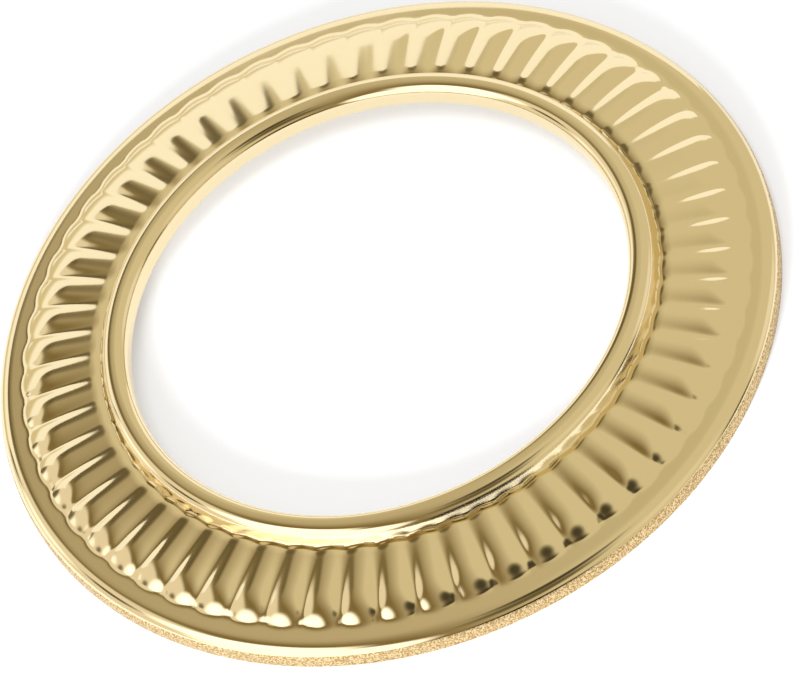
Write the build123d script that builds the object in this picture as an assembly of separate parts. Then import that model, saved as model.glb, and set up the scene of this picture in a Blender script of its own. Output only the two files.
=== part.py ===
"""Vent pipe trim collar: one ring of brass sheet, pressed to shape in one piece.

From the outside in, the sheet is a lip that bends down, a level flange, a ring of radial flutes and a bead
that turns down into the bore. The collar lies on its lip with the fluted face up. The origin is on the pipe's
axis in the plane of the lip's bottom edge, and +Z points out of the fluted face. Sizes are in millimetres and
degrees, and are those of the outer face of the sheet.
"""

import math
import os

from build123d import *

# The pipe that passes through, and the room all round it
pipe_radius = 76.2
pipe_clearance = 0.65

# The sheet
sheet_thickness = 0.5

# Lip, and the level flange that it bends down from
outer_radius = 120.0
lip_bend_radius = 4.2
flange_height = 6.7

# Flutes: a round crest that climbs and flattens towards the bore
flute_count = 60
flute_rise = 3.5
flute_slope = 2.5
flute_radius = 8.0
flute_flare = 15.0

# Nose: the rounded outer end of a flute, bowed in plan
nose_inset = 11.4
nose_bow_radius = 8.3
nose_front_angle = 44.0
nose_bend_radius = 19.0
nose_relief = 0.1

# Heel: the rounded inner end of a flute, which drops to the bead
heel_radius = 9.0
heel_width = 3.8

# Bead around the bore, and the wall that it turns down into
bead_height = 15.0
bead_width = 6.8
bead_face_angle = 66.0
bead_shoulder_radius = 3.4
bore_bend_radius = 3.4
bore_wall_height = 6.7

# How far the cutting shapes run past the faces that they cut
overcut = 2.0

bore_radius = pipe_radius + pipe_clearance
bore_wall_end = bead_height - bore_wall_height
crest_height = flange_height + flute_rise
flange_edge = outer_radius - lip_bend_radius
nose_corner = outer_radius - nose_inset


def run_out(fall, angle):
    """Distance that a face at an angle to the level covers while it falls."""
    return fall / math.tan(math.radians(angle))


def half_tangent(angle):
    """How far a corner slides along its level line when the sheet's face moves in by one."""
    return math.tan(math.radians(angle / 2))


def bead_face(height, depth=0):
    """Radius of the bead's sloping outer face at a height, at a depth below the outer face."""
    shoulder = bore_radius + bead_width - depth * half_tangent(bead_face_angle)
    return shoulder + run_out(bead_height - depth - height, bead_face_angle)


def section(depth):
    """Corners of the section without its flutes, at a depth below the outer face, and the bend at each."""
    flange = flange_height - depth
    crown = bead_height - depth
    corners = [
        (outer_radius - depth, flange),
        (bead_face(flange, depth), flange),
        (bead_face(crown, depth), crown),
        (bore_radius + depth, crown),
    ]
    bends = [lip_bend_radius - depth, 0, bead_shoulder_radius - depth, bore_bend_radius - depth]
    return corners, bends


def ridge(depth):
    """A flute's crest and heel: a cone that flares towards the bore, in a frame with the crest along X."""
    heel_start = bead_face(crest_height) + heel_width - nose_corner
    heel = heel_radius - depth
    reach = outer_radius - nose_corner
    lean = math.radians(flute_flare)
    axis = Axis((0, -flute_radius), (math.cos(lean), math.sin(lean)))

    def axis_at(along):
        return (along, along * math.tan(lean) - flute_radius)

    inner_end = heel_start - heel
    outline = [
        Line((reach, -depth), (heel_start, -depth)),
        CenterArc((heel_start, -heel_radius), heel, 90, 90),
        Polyline((inner_end, -heel_radius), axis_at(inner_end), axis_at(reach), (reach, -depth)),
    ]
    # Turned half round, so that the cone's seam lies on its hidden side
    return revolve(make_face(outline), axis).rotate(axis, 180)


def nose_waste(depth):
    """What a nose's bow and rounding leave out of the ridge's outer end, in the ridge's frame."""
    top = nose_relief - depth
    low = -flute_rise - overcut - depth
    corner = nose_bow_radius - depth * half_tangent(nose_front_angle)
    foot = corner + run_out(top - low, nose_front_angle)
    rounded = FilletPolyline((0, top), (corner, top), (foot, low), radius=nose_bend_radius - depth)
    nose = revolve(make_face([rounded, Polyline((foot, low), (0, low), (0, top))]), Axis.Y)
    length = outer_radius - nose_corner + nose_bow_radius + overcut
    around = Box(length, 2 * (top - low), 2 * flute_radius, align=(Align.MIN, Align.CENTER, Align.CENTER))
    return Pos(-nose_bow_radius, 0, 0) * (around - nose)


def flute(depth):
    """One flute on the X axis, trimmed to its share of the circle."""
    raised = Pos(nose_corner, 0, crest_height) * Rot(90, 0, 0) * Rot(0, 0, -flute_slope)
    inner = bore_radius + bead_width
    slope = math.tan(math.pi / flute_count)
    corners = [
        (inner, -inner * slope),
        (flange_edge, -flange_edge * slope),
        (flange_edge, flange_edge * slope),
        (inner, inner * slope),
    ]
    share = extrude(make_face(Polyline(*corners, close=True)), bead_height)
    return raised * (ridge(depth) - nose_waste(depth)) & share


def pressed(depth, first, last):
    """Everything below the sheet's face at a depth, with flutes; first and last close the section."""
    corners, bends = section(depth)
    points = first + corners + last
    radii = [0] * len(first) + bends + [0] * len(last)
    outline = FilletPolyline(*points, radius=radii, close=True)
    ring = revolve(Plane.XZ * make_face(outline), Axis.Z)
    return ring + PolarLocations(0, flute_count) * flute(depth)


def trim_collar():
    """The pressed sheet: the outer form less the same form one sheet thickness below it."""
    outer = pressed(0, [(outer_radius, 0)], [(bore_radius, 0)])
    bore_cut = [
        (bore_radius + sheet_thickness, bore_wall_end),
        (bore_radius - overcut, bore_wall_end),
        (bore_radius - overcut, -overcut),
    ]
    hollow = pressed(sheet_thickness, [(outer_radius - sheet_thickness, -overcut)], bore_cut)
    return outer - hollow


os.makedirs("parts", exist_ok=True)
export_step(trim_collar(), "parts/trim_collar.step")
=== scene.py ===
"""Vent pipe trim collar: the pressed brass ring in its fine form, and the studio that it is shown in.

Lengths are in metres. The collar lies on its lip with the fluted face up, on the pipe's axis.
"""

import math

import bpy
from mathutils import Matrix, Vector


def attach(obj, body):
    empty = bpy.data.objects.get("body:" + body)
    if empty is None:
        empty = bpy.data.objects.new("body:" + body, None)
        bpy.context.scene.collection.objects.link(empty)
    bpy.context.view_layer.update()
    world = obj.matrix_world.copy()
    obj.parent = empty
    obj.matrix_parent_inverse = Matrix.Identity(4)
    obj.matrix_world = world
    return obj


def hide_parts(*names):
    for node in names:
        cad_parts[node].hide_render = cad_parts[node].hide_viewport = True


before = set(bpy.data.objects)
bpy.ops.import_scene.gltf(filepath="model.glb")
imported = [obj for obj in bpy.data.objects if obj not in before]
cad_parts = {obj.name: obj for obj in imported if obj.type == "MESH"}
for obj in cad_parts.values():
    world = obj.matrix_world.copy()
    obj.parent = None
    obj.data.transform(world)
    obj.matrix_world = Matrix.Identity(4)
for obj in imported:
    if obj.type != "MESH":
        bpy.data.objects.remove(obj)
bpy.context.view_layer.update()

bl_info = {
    "name": "Vent pipe trim collar",
    "version": (1, 0, 0),
    "blender": (4, 5, 0),
    "location": "3D View > Sidebar > Collar",
    "description": "Builds a fluted brass trim collar and a studio to show it in",
    "category": "Add Mesh",
}

MM = 0.001
PHOTO_WIDTH = 812
PHOTO_HEIGHT = 700

# Where a heel's rounding runs out, in degrees
HEEL_SLOPE = 75.0
# How far the finely divided bands reach past the heel's start and to either side of the nose's corner
HEEL_BAND = 0.8 * MM
NOSE_BAND_INNER = 8.0 * MM
NOSE_BAND_OUTER = 5.2 * MM
# How much closer the columns stand in the valleys than on the crests
CROWDING = 0.35
# Points of neighbouring strips that are one point, and the least angle of an edge that stays crisp
WELD_DISTANCE = 0.003 * MM
CUT_ANGLE = math.radians(65)
# Share of the floor's whiteness that doesn't come from the lamps
FLOOR_GLOW = 0.35


def linear(hex_colour):
    """An sRGB hex colour as linear red, green, blue and alpha."""
    channels = [int(hex_colour[i : i + 2], 16) / 255 for i in (1, 3, 5)]
    return tuple(c / 12.92 if c <= 0.04045 else ((c + 0.055) / 1.055) ** 2.4 for c in channels) + (1.0,)


def add_node(tree, kind, inputs=None, **settings):
    """Adds a node with its settings; each input is a socket to link from or a plain value."""
    node = tree.nodes.new(kind)
    for name, value in settings.items():
        setattr(node, name, value)
    for key, value in (inputs or {}).items():
        if isinstance(value, bpy.types.NodeSocket):
            tree.links.new(value, node.inputs[key])
        else:
            node.inputs[key].default_value = value
    return node


def work_out(tree, known, steps):
    """Adds one sum for each step: its name, the operation and what it takes, by name or as a number."""
    for name, operation, *terms in steps:
        inputs = {i: known[term] if isinstance(term, str) else term for i, term in enumerate(terms)}
        known[name] = add_node(tree, "ShaderNodeMath", inputs, operation=operation, label=name).outputs[0]


def position(tree):
    """X, Y and Z of each point's place."""
    place = add_node(tree, "GeometryNodeInputPosition").outputs[0]
    return add_node(tree, "ShaderNodeSeparateXYZ", {0: place}).outputs


def moved(tree, geometry, x, y, z):
    """The geometry with each point set to a new place."""
    place = add_node(tree, "ShaderNodeCombineXYZ", {0: x, 1: y, 2: z}).outputs[0]
    return add_node(tree, "GeometryNodeSetPosition", {"Geometry": geometry, "Position": place}).outputs[0]


def joined(tree, parts):
    """The parts as one geometry."""
    whole = add_node(tree, "GeometryNodeJoinGeometry")
    for part in parts:
        tree.links.new(part, whole.inputs[0])
    return whole.outputs[0]


def bare_material(name):
    """A new material with an empty node tree, and that tree."""
    material = bpy.data.materials.new(name)
    material.use_nodes = True
    material.node_tree.nodes.clear()
    return material, material.node_tree


def length(name, description, millimetres):
    """A length of the collar, kept in metres and given in millimetres."""
    return bpy.props.FloatProperty(
        name=name, description=description, default=millimetres * MM, min=0, precision=5, unit="LENGTH"
    )


def angle(name, description, degrees):
    """An angle of the collar, kept in radians and given in degrees."""
    return bpy.props.FloatProperty(
        name=name, description=description, default=math.radians(degrees), unit="ROTATION"
    )


def tint(name, description, hex_colour):
    """A colour of the finish, given as sRGB hex."""
    return bpy.props.FloatVectorProperty(
        name=name, description=description, subtype="COLOR", size=4, default=linear(hex_colour), min=0, max=1
    )


class CollarSizes(bpy.types.PropertyGroup):
    """Sizes of the pressed sheet, all on its outer face."""

    pipe_radius: length("Pipe radius", "Radius of the vent pipe that passes through", 76.2)
    pipe_clearance: length("Pipe clearance", "Room all round the pipe", 0.65)
    sheet_thickness: length("Sheet thickness", "Thickness of the brass sheet", 0.5)
    outer_radius: length("Outer radius", "Radius of the turned-down lip", 120.0)
    lip_bend_radius: length("Lip bend radius", "Bend from the flange into the lip", 4.2)
    flange_height: length("Flange height", "Height of the flange above the lip's edge", 6.7)
    raw_height: length("Raw height", "Height of the lip that is left unpolished", 4.4)
    flute_rise: length("Flute rise", "Height of a flute's crest above the flange at its nose", 3.5)
    flute_slope: angle("Flute slope", "Climb of the crest towards the bore", 2.5)
    flute_radius: length("Flute radius", "Radius of the crest at the nose", 8.0)
    flute_flare: angle("Flute flare", "How fast the crest flattens towards the bore", 15.0)
    nose_inset: length("Nose inset", "How far the nose's corner lies inside the lip", 11.4)
    nose_bow_radius: length("Nose bow radius", "Radius of the nose in plan", 8.3)
    nose_front_angle: angle("Nose front angle", "Slope of the nose's front", 44.0)
    nose_bend_radius: length("Nose bend radius", "Rounding from the crest into the nose's front", 19.0)
    heel_radius: length("Heel radius", "Rounding of a flute's inner end", 9.0)
    heel_width: length("Heel width", "Where that rounding starts, from the bead's face", 3.8)
    bead_height: length("Bead height", "Height of the bead around the bore", 15.0)
    bead_width: length("Bead width", "Width of the bead across its top", 6.8)
    bead_face_angle: angle("Bead face angle", "Slope of the bead's outer face", 66.0)
    bead_shoulder_radius: length("Bead shoulder radius", "Rounding at the top of that face", 3.4)
    bore_bend_radius: length("Bore bend radius", "Bend from the bead into the bore", 3.4)
    bore_wall_height: length("Bore wall height", "Depth of the wall inside the bore", 6.7)
    nose_softness: length("Nose softness", "Blend between a flute's crest and its nose", 1.2)
    valley_softness: length("Valley softness", "Blend in the valley between two flutes", 2.1)
    foot_softness: length("Foot softness", "Blend where the noses meet the flange", 0.8)
    heel_softness: length("Heel softness", "Blend where the heels meet the bead", 0.4)
    flute_count: bpy.props.IntProperty(
        name="Flutes", description="Number of flutes around the ring", default=60, min=3
    )
    columns: bpy.props.IntProperty(
        name="Columns", description="Faces across one flute", default=14, min=4
    )


class CollarFinish(bpy.types.PropertyGroup):
    """Colours and polish of the brass."""

    brass: tint("Polished brass", "Colour of the polished sheet", "#EEDDB4")
    polish: bpy.props.FloatProperty(
        name="Roughness", description="Roughness of the polished face", subtype="FACTOR",
        default=0.08, min=0, max=1,
    )
    waviness: length("Waviness", "Depth of the sheet's slight unevenness from the press", 0.012)
    raw_light: tint("Raw edge", "Colour of the unpolished edge", "#E6D2A6")
    raw_dark: tint("Raw edge grime", "Colour of the specks on that edge", "#AE8B55")


class CollarStudio(bpy.types.PropertyGroup):
    """Camera and light."""

    camera_azimuth: angle("Camera azimuth", "Direction of the camera around the pipe's axis", -91.2546)
    camera_elevation: angle("Camera elevation", "Height of the camera above the floor", 49.8174)
    camera_roll: angle("Camera roll", "Turn of the camera about its own axis", -25.1758)
    camera_distance: bpy.props.FloatProperty(
        name="Camera distance", description="From the middle of the collar", default=1.48504, unit="LENGTH"
    )
    focal_pixels: bpy.props.FloatProperty(
        name="Focal length", description="In pixels of the picture", default=5000.43
    )
    middle_x: bpy.props.FloatProperty(
        name="Middle X", description="Where the camera points, in pixels", default=386.24
    )
    middle_y: bpy.props.FloatProperty(
        name="Middle Y", description="Where the camera points, in pixels", default=323.41
    )


def bent_line(name, along, radius, slope):
    """Steps for how far a line has left the level, if it bends on a radius and then runs on at a slope."""
    return [
        (name + " along", "MAXIMUM", along, 0.0),
        (name + " sine", "SINE", slope),
        (name + " bend end", "MULTIPLY", name + " sine", radius),
        (name + " in bend", "MINIMUM", name + " along", name + " bend end"),
        (name + " radius 2", "MULTIPLY", radius, radius),
        (name + " in bend 2", "MULTIPLY", name + " in bend", name + " in bend"),
        (name + " height 2", "SUBTRACT", name + " radius 2", name + " in bend 2"),
        (name + " height", "SQRT", name + " height 2"),
        (name + " fall", "SUBTRACT", radius, name + " height"),
        (name + " past bend", "SUBTRACT", name + " along", name + " in bend"),
        (name + " tangent", "TANGENT", slope),
        (name, "MULTIPLY_ADD", name + " past bend", name + " tangent", name + " fall"),
    ]


def flute_height(name, turn):
    """Steps for the height of one flute at a turn from its crest: ridge, heel and nose."""
    steps = [
        (name + " cos", "COSINE", turn),
        (name + " sin", "SINE", turn),
        (name + " x", "MULTIPLY", "radius", name + " cos"),
        (name + " y", "MULTIPLY", "radius", name + " sin"),
        (name + " y2", "MULTIPLY", name + " y", name + " y"),
        (name + " inward", "SUBTRACT", "nose corner", name + " x"),
        (name + " crest", "MULTIPLY_ADD", name + " inward", "slope tangent", "crest"),
        (name + " round", "MULTIPLY_ADD", name + " inward", "flare tangent", "flute radius"),
        (name + " round 2", "MULTIPLY", name + " round", name + " round"),
        (name + " left 2", "SUBTRACT", name + " round 2", name + " y2"),
        (name + " left 2+", "MAXIMUM", name + " left 2", 0.0),
        (name + " left", "SQRT", name + " left 2+"),
        (name + " drop", "SUBTRACT", name + " round", name + " left"),
        (name + " heel along", "SUBTRACT", "heel start", name + " x"),
    ]
    steps += bent_line(name + " heel", name + " heel along", "heel radius", "heel slope")
    steps += [
        (name + " ridge top", "SUBTRACT", name + " crest", name + " drop"),
        (name + " ridge", "SUBTRACT", name + " ridge top", name + " heel"),
        (name + " out", "SUBTRACT", name + " x", "nose middle"),
        (name + " out+", "MAXIMUM", name + " out", 0.0),
        (name + " bow 2", "MULTIPLY_ADD", name + " out+", name + " out+", name + " y2"),
        (name + " bow", "SQRT", name + " bow 2"),
        (name + " nose along", "SUBTRACT", name + " bow", "nose start"),
    ]
    steps += bent_line(name + " nose", name + " nose along", "nose bend", "Nose front angle")
    steps += [
        (name + " nose top", "SUBTRACT", name + " crest", name + " nose"),
        (name, "SMOOTH_MIN", name + " ridge", name + " nose top", "Nose softness"),
    ]
    return steps


def shared_sizes():
    """Steps for the sizes that follow from the given ones and don't depend on the depth in the sheet."""
    return [
        ("bore", "ADD", "Pipe radius", "Pipe clearance"),
        ("bore wall end", "SUBTRACT", "Bead height", "Bore wall height"),
        ("bore bend middle", "ADD", "bore", "Bore bend radius"),
        ("bore bend height", "SUBTRACT", "Bead height", "Bore bend radius"),
        ("lip bend middle", "SUBTRACT", "Outer radius", "Lip bend radius"),
        ("lip bend height", "SUBTRACT", "Flange height", "Lip bend radius"),
        ("nose corner", "SUBTRACT", "Outer radius", "Nose inset"),
        ("nose middle", "SUBTRACT", "nose corner", "Nose bow radius"),
        ("nose half", "MULTIPLY", "Nose front angle", 0.5),
        ("nose half tangent", "TANGENT", "nose half"),
        ("nose bend run", "MULTIPLY", "Nose bend radius", "nose half tangent"),
        ("nose start", "SUBTRACT", "Nose bow radius", "nose bend run"),
        ("outer crest", "ADD", "Flange height", "Flute rise"),
        ("slope tangent", "TANGENT", "Flute slope"),
        ("flare tangent", "TANGENT", "Flute flare"),
        ("face tangent", "TANGENT", "Bead face angle"),
        ("face half", "MULTIPLY", "Bead face angle", 0.5),
        ("face half tangent", "TANGENT", "face half"),
        ("shoulder corner", "ADD", "bore", "Bead width"),
        ("shoulder run", "MULTIPLY", "Bead shoulder radius", "face half tangent"),
        ("shoulder middle", "SUBTRACT", "shoulder corner", "shoulder run"),
        ("shoulder height", "SUBTRACT", "Bead height", "Bead shoulder radius"),
        ("shoulder start", "SUBTRACT", math.pi / 2, "Bead face angle"),
        ("shoulder cos", "COSINE", "shoulder start"),
        ("bead above crest", "SUBTRACT", "Bead height", "outer crest"),
        ("face run", "DIVIDE", "bead above crest", "face tangent"),
        ("face at crest", "ADD", "shoulder corner", "face run"),
        ("heel start", "ADD", "face at crest", "Heel width"),
        ("heel slope", "RADIANS", HEEL_SLOPE),
        ("heel band", "ADD", "heel start", HEEL_BAND),
        ("nose band inner", "SUBTRACT", "nose corner", NOSE_BAND_INNER),
        ("nose band outer", "ADD", "nose corner", NOSE_BAND_OUTER),
        ("pitch", "DIVIDE", 2 * math.pi, "Flutes"),
    ]


def face_sizes(depth):
    """Steps for the sizes of the sheet's face at a depth below its outer face."""
    return [
        ("lip", "SUBTRACT", "Outer radius", depth),
        ("lip bend", "SUBTRACT", "Lip bend radius", depth),
        ("flange", "SUBTRACT", "Flange height", depth),
        ("crest", "SUBTRACT", "outer crest", depth),
        ("flute radius", "SUBTRACT", "Flute radius", depth),
        ("nose bend", "SUBTRACT", "Nose bend radius", depth),
        ("heel radius", "SUBTRACT", "Heel radius", depth),
        ("crown", "SUBTRACT", "Bead height", depth),
        ("crown run", "DIVIDE", "crown", "face tangent"),
        ("face shift", "MULTIPLY", "face half tangent", depth),
        ("face top", "SUBTRACT", "shoulder corner", "face shift"),
        ("face foot", "ADD", "face top", "crown run"),
        ("shoulder", "SUBTRACT", "Bead shoulder radius", depth),
        ("shoulder reach", "MULTIPLY_ADD", "shoulder", "shoulder cos", "shoulder middle"),
        ("bore bend", "SUBTRACT", "Bore bend radius", depth),
        ("bore wall", "ADD", "bore", depth),
    ]


def face_height():
    """Steps for the height of the sheet's face over the flange, the flutes and the bead's outer face."""
    steps = [
        ("turn+", "ABSOLUTE", "turn"),
        ("next turn", "SUBTRACT", "pitch", "turn+"),
    ]
    steps += flute_height("flute", "turn+")
    steps += flute_height("next flute", "next turn")
    steps += [
        ("flutes", "SMOOTH_MAX", "flute", "next flute", "Valley softness"),
        ("fluted", "SMOOTH_MAX", "flutes", "flange", "Foot softness"),
        ("face along", "SUBTRACT", "face foot", "radius"),
        ("face", "MULTIPLY", "face along", "face tangent"),
        ("height", "SMOOTH_MAX", "fluted", "face", "Heel softness"),
    ]
    return steps


def strip(tree, known, rows, radii, heights):
    """A strip of one flute's share, laid out as radius, turn and height; rows run along the section."""
    grid = add_node(
        tree, "GeometryNodeMeshGrid",
        {"Size X": 1.0, "Size Y": 1.0, "Vertices X": rows + 1, "Vertices Y": known["column lines"]},
    )
    return moved(tree, grid.outputs["Mesh"], radii, known["grid turn"], heights)


def straight(tree, known, rows, start, end):
    """A strip along a straight line of the section, between two points given as names or numbers."""
    steps = []
    for i, axis in enumerate(("radius", "height")):
        steps += [
            ("line start " + axis, "ADD", start[i], 0.0),
            ("line run " + axis, "SUBTRACT", end[i], start[i]),
            ("line " + axis, "MULTIPLY_ADD", "grid along", "line run " + axis, "line start " + axis),
        ]
    work_out(tree, known, steps)
    return strip(tree, known, rows, known["line radius"], known["line height"])


def bend(tree, known, rows, middle, radius, start, end):
    """A strip around a bend of the section, from one angle to another."""
    work_out(tree, known, [
        ("bend run", "SUBTRACT", end, start),
        ("bend turn", "MULTIPLY_ADD", "grid along", "bend run", start),
        ("bend cos", "COSINE", "bend turn"),
        ("bend sin", "SINE", "bend turn"),
        ("bend radius", "MULTIPLY_ADD", "bend cos", radius, middle[0]),
        ("bend height", "MULTIPLY_ADD", "bend sin", radius, middle[1]),
    ])
    return strip(tree, known, rows, known["bend radius"], known["bend height"])


def pressed_face(tree, known, depth, rows):
    """One flute's share of the sheet's face at a depth, from the lip's edge to the end of the bore's wall."""
    work_out(tree, known, face_sizes(depth))
    quarter = math.pi / 2
    plain = [
        straight(tree, known, 1, ("lip", 0.0), ("lip", "lip bend height")),
        bend(tree, known, rows["lip bend"], ("lip bend middle", "lip bend height"), "lip bend", 0.0, quarter),
        bend(tree, known, rows["shoulder"], ("shoulder middle", "shoulder height"), "shoulder",
             "shoulder start", quarter),
        straight(tree, known, 1, ("shoulder middle", "crown"), ("bore bend middle", "crown")),
        bend(tree, known, rows["bore bend"], ("bore bend middle", "bore bend height"), "bore bend",
             quarter, math.pi),
        straight(tree, known, 1, ("bore wall", "bore bend height"), ("bore wall", "bore wall end")),
    ]
    stops = ["lip bend middle", "nose band outer", "nose band inner", "heel band", "shoulder reach"]
    parts = ["flange", "nose", "crest", "heel"]
    level = [
        straight(tree, known, rows[part], (stops[i], 0.0), (stops[i + 1], 0.0))
        for i, part in enumerate(parts)
    ]
    flat = joined(tree, level)
    known["radius"], known["turn"], _ = position(tree)
    work_out(tree, known, face_height())
    fluted = moved(tree, flat, known["radius"], known["turn"], known["height"])
    return joined(tree, plain + [fluted])


def collar_tree(sizes, brass, raw_edge):
    """The whole pressed sheet: one flute's share of both faces and both cut edges, set around the ring."""
    tree = bpy.data.node_groups.new("Pressed collar", "GeometryNodeTree")
    tree.interface.new_socket("Geometry", in_out="OUTPUT", socket_type="NodeSocketGeometry")
    identifiers = {}
    for key, prop in sizes.bl_rna.properties.items():
        if prop.type in {"FLOAT", "INT"}:
            kind = "NodeSocketFloat" if prop.type == "FLOAT" else "NodeSocketInt"
            socket = tree.interface.new_socket(prop.name, in_out="INPUT", socket_type=kind)
            identifiers[key] = socket.identifier
    given = add_node(tree, "NodeGroupInput")
    known = {socket.name: socket for socket in given.outputs if socket.name}

    # Where a point of a flat strip lies along the section and across the flute; columns crowd in the valleys
    known["grid x"], known["grid y"], _ = position(tree)
    work_out(tree, known, shared_sizes())
    work_out(tree, known, [
        ("grid along", "ADD", "grid x", 0.5),
        ("grid round", "MULTIPLY", "grid y", 2 * math.pi),
        ("grid wave", "SINE", "grid round"),
        ("grid crowd", "MULTIPLY_ADD", "grid wave", CROWDING / (2 * math.pi), "grid y"),
        ("grid turn", "MULTIPLY", "grid crowd", "pitch"),
        ("column lines", "ADD", "Columns", 1.0),
    ])

    # Rows of faces along each part of the section: close on the outer face, wider underneath
    fine = {"lip bend": 10, "flange": 2, "nose": 22, "crest": 5, "heel": 20, "shoulder": 8, "bore bend": 8}
    plain = {"lip bend": 3, "flange": 2, "nose": 10, "crest": 3, "heel": 8, "shoulder": 3, "bore bend": 3}
    top = pressed_face(tree, known, 0.0, fine)
    top = add_node(tree, "GeometryNodeFlipFaces", {"Mesh": top}).outputs[0]
    under = pressed_face(tree, known, "Sheet thickness", plain)
    lip_edge = straight(tree, known, 1, ("Outer radius", 0.0), ("lip", 0.0))
    bore_edge = straight(tree, known, 1, ("bore wall", "bore wall end"), ("bore", "bore wall end"))
    share = joined(tree, (top, under, lip_edge, bore_edge))

    # Rolled up from radius and turn to its place on the ring
    known["laid radius"], known["laid turn"], laid_height = position(tree)
    work_out(tree, known, [
        ("rolled cos", "COSINE", "laid turn"),
        ("rolled sin", "SINE", "laid turn"),
        ("rolled x", "MULTIPLY", "laid radius", "rolled cos"),
        ("rolled y", "MULTIPLY", "laid radius", "rolled sin"),
    ])
    rolled = moved(tree, share, known["rolled x"], known["rolled y"], laid_height)

    # The share repeated around the pipe's axis
    spots = add_node(tree, "GeometryNodePoints", {"Count": known["Flutes"]})
    known["index"] = add_node(tree, "GeometryNodeInputIndex").outputs[0]
    work_out(tree, known, [("share turn", "MULTIPLY", "index", "pitch")])
    turned = add_node(tree, "ShaderNodeCombineXYZ", {2: known["share turn"]})
    ring = add_node(tree, "GeometryNodeInstanceOnPoints", {
        "Points": spots.outputs[0], "Instance": rolled, "Rotation": turned.outputs[0],
    })
    whole = add_node(tree, "GeometryNodeRealizeInstances", {"Geometry": ring.outputs[0]})
    welded = add_node(tree, "GeometryNodeMergeByDistance", {
        "Geometry": whole.outputs[0], "Distance": WELD_DISTANCE,
    })

    # Smooth all over but at the cut edges of the sheet
    smooth = add_node(tree, "GeometryNodeSetShadeSmooth", {0: welded.outputs[0], "Shade Smooth": True})
    corner = add_node(tree, "GeometryNodeInputMeshEdgeAngle")
    cut = add_node(
        tree, "FunctionNodeCompare", {0: corner.outputs[0], 1: CUT_ANGLE}, operation="GREATER_THAN"
    )
    crisp = add_node(
        tree, "GeometryNodeSetShadeSmooth",
        {0: smooth.outputs[0], "Selection": cut.outputs[0], "Shade Smooth": False}, domain="EDGE",
    )
    polished = add_node(tree, "GeometryNodeSetMaterial", {"Geometry": crisp.outputs[0], "Material": brass})

    # The lip's own wall is left as it came from the press, as is the cut edge at its foot
    known["place x"], known["place y"], known["place z"] = position(tree)
    work_out(tree, known, [
        ("place x2", "MULTIPLY", "place x", "place x"),
        ("place 2", "MULTIPLY_ADD", "place y", "place y", "place x2"),
        ("place radius", "SQRT", "place 2"),
        ("lip middle", "MULTIPLY_ADD", "Sheet thickness", -2.0, "Outer radius"),
        ("in lip", "GREATER_THAN", "place radius", "lip middle"),
        ("under polish", "LESS_THAN", "place z", "Raw height"),
        ("raw", "MULTIPLY", "in lip", "under polish"),
    ])
    edged = add_node(tree, "GeometryNodeSetMaterial", {
        "Geometry": polished.outputs[0], "Selection": known["raw"], "Material": raw_edge,
    })
    add_node(tree, "NodeGroupOutput", {0: edged.outputs[0]})
    return tree, identifiers


def polished_brass(finish):
    """Pressed and polished brass sheet: a warm mirror, a little wavy from the press, with a faint haze."""
    material, tree = bare_material("Polished brass sheet")
    place = add_node(tree, "ShaderNodeTexCoord").outputs["Object"]
    # Waves about 9 mm across bend the reflections, as in any pressed sheet
    waves = add_node(tree, "ShaderNodeTexNoise", {"Vector": place, "Scale": 1 / (9 * MM), "Detail": 1.0})
    bump = add_node(
        tree, "ShaderNodeBump", {"Strength": 1.0, "Distance": finish.waviness, "Height": waves.outputs["Fac"]}
    )
    # Haze in patches of about 25 mm where the polish is thinner
    haze = add_node(tree, "ShaderNodeTexNoise", {"Vector": place, "Scale": 1 / (25 * MM), "Detail": 3.0})
    polish = add_node(tree, "ShaderNodeMapRange", {
        0: haze.outputs["Fac"], 1: 0.35, 2: 0.7, 3: finish.polish, 4: finish.polish * 1.6,
    })
    shader = add_node(tree, "ShaderNodeBsdfPrincipled", {
        "Base Color": finish.brass, "Metallic": 1.0,
        "Roughness": polish.outputs[0], "Normal": bump.outputs[0],
    })
    add_node(tree, "ShaderNodeOutputMaterial", {0: shader.outputs[0]})
    return material


def raw_brass_edge(finish):
    """Brass edge as it left the press: dull, pitted and speckled brown, with no polish."""
    material, tree = bare_material("Raw brass edge")
    place = add_node(tree, "ShaderNodeTexCoord").outputs["Object"]
    # Specks and pits about 0.5 mm across
    specks = add_node(tree, "ShaderNodeTexNoise", {"Vector": place, "Scale": 1 / (0.5 * MM), "Detail": 2.0})
    shade = add_node(tree, "ShaderNodeMapRange", {0: specks.outputs["Fac"], 1: 0.42, 2: 0.58})
    colour = add_node(tree, "ShaderNodeMix", {
        0: shade.outputs[0], 6: finish.raw_dark, 7: finish.raw_light,
    }, data_type="RGBA")
    bump = add_node(tree, "ShaderNodeBump", {
        "Strength": 1.0, "Distance": 0.06 * MM, "Height": specks.outputs["Fac"],
    })
    shader = add_node(tree, "ShaderNodeBsdfPrincipled", {
        "Base Color": colour.outputs[2], "Metallic": 1.0, "Roughness": 0.45, "Normal": bump.outputs[0],
    })
    add_node(tree, "ShaderNodeOutputMaterial", {0: shader.outputs[0]})
    return material


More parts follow.
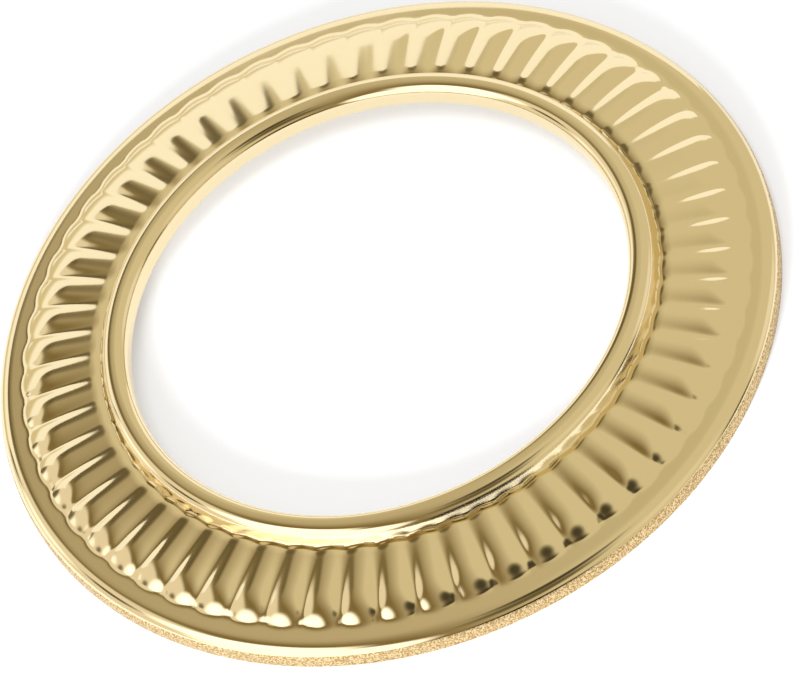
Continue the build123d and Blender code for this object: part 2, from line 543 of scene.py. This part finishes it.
class COLLAR_OT_trim_collar(bpy.types.Operator):
    """Builds the pressed brass collar from its sizes"""

    bl_idname = "collar.trim_collar"
    bl_label = "Trim collar"

    def execute(self, context):
        sizes = context.scene.collar_sizes
        finish = context.scene.collar_finish
        tree, identifiers = collar_tree(sizes, polished_brass(finish), raw_brass_edge(finish))
        collar = bpy.data.objects.new("brass_trim_collar", bpy.data.meshes.new("brass_trim_collar"))
        context.scene.collection.objects.link(collar)
        pressing = collar.modifiers.new("Pressed collar", "NODES")
        pressing.node_group = tree
        for key, identifier in identifiers.items():
            pressing[identifier] = getattr(sizes, key)
        shaped = collar.evaluated_get(context.evaluated_depsgraph_get())
        mesh = bpy.data.meshes.new_from_object(shaped)
        collar.modifiers.remove(pressing)
        collar.data = mesh
        if not mesh.polygons:
            raise RuntimeError("the collar came out empty")
        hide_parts("trim_collar")
        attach(collar, "root")
        return {"FINISHED"}


def white_floor():
    """Matt white studio floor: white to the eye and in the metal, with the collar's soft shadow on it."""
    material, tree = bare_material("White studio floor")
    matt = add_node(tree, "ShaderNodeBsdfDiffuse", {"Color": linear("#F2F2F2")})
    glow = add_node(tree, "ShaderNodeEmission", {"Color": (1, 1, 1, 1), "Strength": 1.0})
    rays = add_node(tree, "ShaderNodeLightPath")
    seen = add_node(tree, "ShaderNodeMath", {
        0: rays.outputs["Is Camera Ray"], 1: rays.outputs["Is Glossy Ray"],
    }, operation="MAXIMUM")
    share = add_node(tree, "ShaderNodeMath", {0: seen.outputs[0], 1: FLOOR_GLOW}, operation="MULTIPLY")
    mix = add_node(tree, "ShaderNodeMixShader", {0: share.outputs[0], 1: matt.outputs[0], 2: glow.outputs[0]})
    add_node(tree, "ShaderNodeOutputMaterial", {0: mix.outputs[0]})
    return material


def white_card():
    """White studio card: seen only in the brass, as the pale far end of the room."""
    material, tree = bare_material("White studio card")
    # It darkens over its lowest 50 mm, a little higher up on the left
    place = add_node(tree, "ShaderNodeTexCoord").outputs["Object"]
    height = add_node(tree, "ShaderNodeVectorMath", {0: place, 1: (0.2, 0, 1)}, operation="DOT_PRODUCT")
    lit = add_node(tree, "ShaderNodeMapRange", {
        0: height.outputs["Value"], 2: 50 * MM,
    }, interpolation_type="SMOOTHSTEP")
    colour = add_node(tree, "ShaderNodeMix", {
        0: lit.outputs[0], 6: linear("#D6CBAA"), 7: linear("#FFFEFA"),
    }, data_type="RGBA")
    glow = add_node(tree, "ShaderNodeEmission", {"Color": colour.outputs[2], "Strength": 1.15})
    add_node(tree, "ShaderNodeOutputMaterial", {0: glow.outputs[0]})
    return material


def backdrop(scene, name, corners, material):
    """A flat sheet of the stage."""
    mesh = bpy.data.meshes.new(name)
    mesh.from_pydata(corners, [], [range(len(corners))])
    mesh.materials.append(material)
    sheet = bpy.data.objects.new(name, mesh)
    scene.collection.objects.link(sheet)
    return sheet


# The room that the brass mirrors: name, azimuth and elevation of the middle, where the full tone ends and
# where it has faded out, all in degrees, then the tone and its strength
ROOM = (
    ("dark above the card", 108, 36, 8, 17, "#6B6044", 1.0),
    ("edge of the left wall", 155, 18, 41, 49, "#857853", 1.0),
    ("left white wall", 155, 18, 34, 42, "#FFF6E4", 0.92),
    ("left window", 146, 16, 6, 13, "#FFFFFF", 1.4),
    ("gap beside the card", 131, 15, 3, 9, "#6B6044", 1.0),
    ("right window", 4, 18, 8, 18, "#FFF8EA", 0.95),
    ("left softbox", -165, 42, 14, 24, "#FFFFFF", 1.9),
    ("low left softbox", -142, 16, 24, 32, "#FFFFFF", 1.7),
    ("right reflector", -44, 30, 6, 22, "#EFE6CF", 1.0),
    ("doorway", 163, 30, 3, 9, "#5E543A", 1.0),
    ("camera stand", -86, 46, 6, 20, "#6E6346", 1.0),
    ("camera", -74, 70, 4, 15, "#4A4331", 1.0),
    ("dark behind the camera", -88, -6, 14, 24, "#2A251C", 1.0),
    ("right doorway", -21, 3, 5, 12, "#6B6044", 1.0),
)


def studio_room():
    """White to the eye, soft even light on the floor, and warm walls with softboxes and gaps in the metal."""
    world = bpy.data.worlds.new("Studio room")
    world.use_nodes = True
    tree = world.node_tree
    tree.nodes.clear()
    way = add_node(tree, "ShaderNodeTexCoord").outputs["Generated"]
    across = add_node(tree, "ShaderNodeSeparateXYZ", {0: way}).outputs[0]
    side = add_node(tree, "ShaderNodeMapRange", {0: across, 1: -0.35, 2: 0.16}).outputs[0]
    walls = add_node(tree, "ShaderNodeMix", {
        0: side, 6: linear("#857247"), 7: linear("#E0D7BB"),
    }, data_type="RGBA").outputs[2]
    for name, azimuth, elevation, full, faded, tone, strength in ROOM:
        az, el = math.radians(azimuth), math.radians(elevation)
        middle = (math.cos(el) * math.cos(az), math.cos(el) * math.sin(az), math.sin(el))
        near = add_node(
            tree, "ShaderNodeVectorMath", {0: way, 1: middle}, operation="DOT_PRODUCT"
        ).outputs["Value"]
        share = add_node(tree, "ShaderNodeMapRange", {
            0: near, 1: math.cos(math.radians(faded)), 2: math.cos(math.radians(full)),
        }, interpolation_type="SMOOTHSTEP", label=name).outputs[0]
        colour = [channel * strength for channel in linear(tone)[:3]] + [1.0]
        walls = add_node(tree, "ShaderNodeMix", {0: share, 6: walls, 7: colour}, data_type="RGBA").outputs[2]
    mirrored = add_node(tree, "ShaderNodeBackground", {"Color": walls, "Strength": 1.0})
    rays = add_node(tree, "ShaderNodeLightPath")
    level = add_node(tree, "ShaderNodeMapRange", {0: rays.outputs["Is Camera Ray"], 3: 0.62, 4: 1.0})
    even = add_node(tree, "ShaderNodeBackground", {"Color": (1, 1, 1, 1), "Strength": level.outputs[0]})
    mix = add_node(tree, "ShaderNodeMixShader", {
        0: rays.outputs["Is Glossy Ray"], 1: even.outputs[0], 2: mirrored.outputs[0],
    })
    add_node(tree, "ShaderNodeOutputWorld", {0: mix.outputs[0]})
    return world


class COLLAR_OT_studio(bpy.types.Operator):
    """Sets up the floor, the soft light and the camera"""

    bl_idname = "collar.studio"
    bl_label = "Studio"

    def execute(self, context):
        scene = context.scene
        studio = scene.collar_studio
        # The floor ends close in front of the collar, so that the bead mirrors the dark beyond it
        reach = 3.0
        front = -0.27
        below = -0.0002
        backdrop(scene, "Studio floor", [
            (-reach, front, below), (reach, front, below), (reach, reach, below), (-reach, reach, below),
        ], white_floor())

        # A card close behind the collar, which only the brass sees; its top edge is lowest at the right
        behind = 0.25
        card_top = (
            (0.3, 0.09), (0.2, 0.15), (0.13, 0.163), (0.085, 0.163),
            (0.03, 0.146), (-0.06, 0.143), (-0.1, 0.154), (-0.32, 0.239),
        )
        card_foot = ((-0.32, 0), (0.3, 0))
        card = backdrop(
            scene, "White card", [(x, behind, z) for x, z in card_foot + card_top], white_card()
        )
        card.visible_camera = False
        card.visible_diffuse = False
        card.visible_shadow = False

        # Two soft lamps that the metal doesn't mirror, one high and one low, both from the front
        for name, power, size, place in (
            ("Key softbox", 5.0, 0.6, (-0.05, -0.2, 1.05)),
            ("Front softbox", 4.2, 0.15, (-0.28, -0.43, 0.22)),
        ):
            light = bpy.data.lights.new(name, "AREA")
            light.energy = power
            light.size = size
            lamp = bpy.data.objects.new(name, light)
            lamp.location = place
            lamp.rotation_euler = Vector(place).to_track_quat("Z", "Y").to_euler()
            lamp.visible_glossy = False
            scene.collection.objects.link(lamp)

        scene.world = studio_room()

        # The camera as the picture was taken
        back = Vector((
            math.cos(studio.camera_elevation) * math.cos(studio.camera_azimuth),
            math.cos(studio.camera_elevation) * math.sin(studio.camera_azimuth),
            math.sin(studio.camera_elevation),
        ))
        right = Vector((0, 0, 1)).cross(back).normalized()
        upright = Matrix((right, back.cross(right), back)).transposed()
        aim = upright @ Matrix.Rotation(studio.camera_roll, 3, "Z")
        camera = bpy.data.objects.new("Camera", bpy.data.cameras.new("Camera"))
        camera.matrix_world = Matrix.Translation(back * studio.camera_distance) @ aim.to_4x4()
        camera.data.sensor_width = 36.0
        camera.data.lens = studio.focal_pixels * camera.data.sensor_width / PHOTO_WIDTH
        camera.data.shift_x = (PHOTO_WIDTH / 2 - studio.middle_x) / PHOTO_WIDTH
        camera.data.shift_y = (studio.middle_y - PHOTO_HEIGHT / 2) / PHOTO_WIDTH
        scene.collection.objects.link(camera)
        scene.camera = camera
        scene.view_settings.view_transform = "Standard"
        return {"FINISHED"}


class COLLAR_PT_sidebar(bpy.types.Panel):
    """Lists the collar's sizes, finish and studio"""

    bl_label = "Trim collar"
    bl_idname = "COLLAR_PT_sidebar"
    bl_space_type = "VIEW_3D"
    bl_region_type = "UI"
    bl_category = "Collar"

    def draw(self, context):
        layout = self.layout
        layout.operator(COLLAR_OT_trim_collar.bl_idname)
        layout.operator(COLLAR_OT_studio.bl_idname)
        for group in (context.scene.collar_sizes, context.scene.collar_finish, context.scene.collar_studio):
            box = layout.box()
            for key in group.__annotations__:
                box.prop(group, key)


CLASSES = (
    CollarSizes, CollarFinish, CollarStudio, COLLAR_OT_trim_collar, COLLAR_OT_studio, COLLAR_PT_sidebar,
)


def register():
    for cls in CLASSES:
        bpy.utils.register_class(cls)
    bpy.types.Scene.collar_sizes = bpy.props.PointerProperty(type=CollarSizes)
    bpy.types.Scene.collar_finish = bpy.props.PointerProperty(type=CollarFinish)
    bpy.types.Scene.collar_studio = bpy.props.PointerProperty(type=CollarStudio)


def unregister():
    del bpy.types.Scene.collar_studio
    del bpy.types.Scene.collar_finish
    del bpy.types.Scene.collar_sizes
    for cls in reversed(CLASSES):
        bpy.utils.unregister_class(cls)


def main():
    register()
    bpy.ops.collar.trim_collar()
    bpy.ops.collar.studio()


if __name__ == "__main__":
    main()
